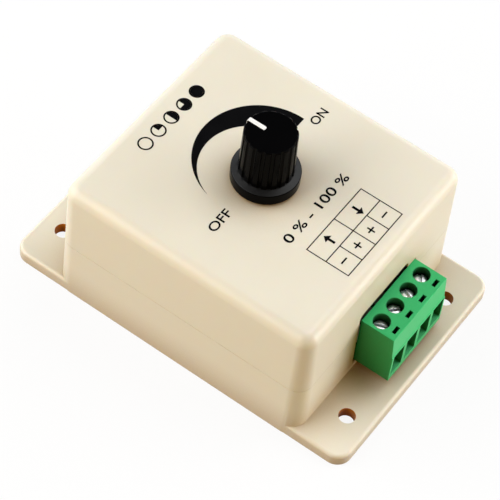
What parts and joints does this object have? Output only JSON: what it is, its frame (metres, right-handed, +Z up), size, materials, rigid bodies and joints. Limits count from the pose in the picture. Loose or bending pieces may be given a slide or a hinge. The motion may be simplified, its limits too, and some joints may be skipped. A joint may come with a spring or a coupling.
{
  "type": "rotary led strip dimmer",
  "caption": "Rotary dimmer for LED strips: flanged plastic box with a fluted pointer knob on top and a screw terminal block in its front wall.",
  "frame": {"origin": "middle of the flange's underside", "axes": "+X along the terminal block, to the reader's right; -Y towards the terminal side; +Z up, along the knob's axis"},
  "size_m": [0.059, 0.088, 0.0501],
  "materials": {
    "case_plastic": "fine satin moulding",
    "screw_steel": "zinc plated",
    "knob_plastic": "gloss",
    "pointer_paint": "satin",
    "terminal_plastic": "satin",
    "clamp_screw_steel": "bright nickel plated",
    "cage_steel": "zinc plated",
    "tinned_brass": "tinned",
    "board_laminate": "solder mask",
    "brass": "plain",
    "plated_steel": "zinc plated",
    "track_laminate": "paper laminate",
    "wire_insulation": "soft vinyl",
    "shaft_aluminium": "turned",
    "rotor_plastic": "moulded",
    "capacitor_sleeve": "shrunk sleeve",
    "chip_epoxy": "moulded epoxy",
    "tinned_copper": "tinned",
    "ceramic": "fired"
  },
  "bodies": {
    "case": {"base_tray": "case_plastic", "board_screws": "screw_steel", "capacitor": "capacitor_sleeve", "case_screws": "screw_steel", "ceramic_capacitors": "ceramic", "circuit_board": "board_laminate", "diode": "chip_epoxy", "mosfet_body": "chip_epoxy", "mosfet_frame": "tinned_copper", "pot_bush": "brass", "pot_case": "plated_steel", "pot_lugs": "tinned_brass", "pot_nut": "brass", "pot_track": "track_laminate", "pot_washer": "plated_steel", "pot_wires": "wire_insulation", "resistors": "chip_epoxy", "terminal_contacts": "tinned_brass", "terminal_housing": "terminal_plastic", "timer_chip": "chip_epoxy", "timer_legs": "tinned_copper", "top_cover": "case_plastic"},
    "knob_unit": {"knob": "knob_plastic", "knob_pointer": "pointer_paint", "pot_shaft": "shaft_aluminium", "pot_rotor": "rotor_plastic", "pot_wiper": "brass"},
    "clamp_screw_1": {"terminal_screw_1": "clamp_screw_steel"},
    "cage_1": {"clamp_cage_1": "cage_steel"},
    "clamp_screw_2": {"terminal_screw_2": "clamp_screw_steel"},
    "cage_2": {"clamp_cage_2": "cage_steel"},
    "clamp_screw_3": {"terminal_screw_3": "clamp_screw_steel"},
    "cage_3": {"clamp_cage_3": "cage_steel"},
    "clamp_screw_4": {"terminal_screw_4": "clamp_screw_steel"},
    "cage_4": {"clamp_cage_4": "cage_steel"}
  },
  "joints": [
    {"name": "knob_turn", "type": "hinge", "parent": "case", "child": "knob_unit", "pos_m": [0, 0.0003, 0.0346], "axis": [0, 0, 1], "range_deg": [-150, 150]},
    {"name": "clamp_screw_1_turn", "type": "hinge", "parent": "case", "child": "clamp_screw_1", "pos_m": [-0.00519, -0.03512, 0.0182], "axis": [0, 0, -1], "range_deg": [0, 2088]},
    {"name": "cage_1_rise", "type": "slide", "parent": "case", "child": "cage_1", "axis": [0, 0, 1], "range_m": [0, 0.0029]},
    {"name": "clamp_screw_2_turn", "type": "hinge", "parent": "case", "child": "clamp_screw_2", "pos_m": [-0.00011, -0.03512, 0.0182], "axis": [0, 0, -1], "range_deg": [0, 2088]},
    {"name": "cage_2_rise", "type": "slide", "parent": "case", "child": "cage_2", "axis": [0, 0, 1], "range_m": [0, 0.0029]},
    {"name": "clamp_screw_3_turn", "type": "hinge", "parent": "case", "child": "clamp_screw_3", "pos_m": [0.00497, -0.03512, 0.0182], "axis": [0, 0, -1], "range_deg": [0, 2088]},
    {"name": "cage_3_rise", "type": "slide", "parent": "case", "child": "cage_3", "axis": [0, 0, 1], "range_m": [0, 0.0029]},
    {"name": "clamp_screw_4_turn", "type": "hinge", "parent": "case", "child": "clamp_screw_4", "pos_m": [0.01005, -0.03512, 0.0182], "axis": [0, 0, -1], "range_deg": [0, 2088]},
    {"name": "cage_4_rise", "type": "slide", "parent": "case", "child": "cage_4", "axis": [0, 0, 1], "range_m": [0, 0.0029]}
  ],
  "couplings": [
    {"joint": "clamp_screw_1_turn", "follows": "cage_1_rise", "rad_per_m": 12566},
    {"joint": "clamp_screw_2_turn", "follows": "cage_2_rise", "rad_per_m": 12566},
    {"joint": "clamp_screw_3_turn", "follows": "cage_3_rise", "rad_per_m": 12566},
    {"joint": "clamp_screw_4_turn", "follows": "cage_4_rise", "rad_per_m": 12566}
  ]
}
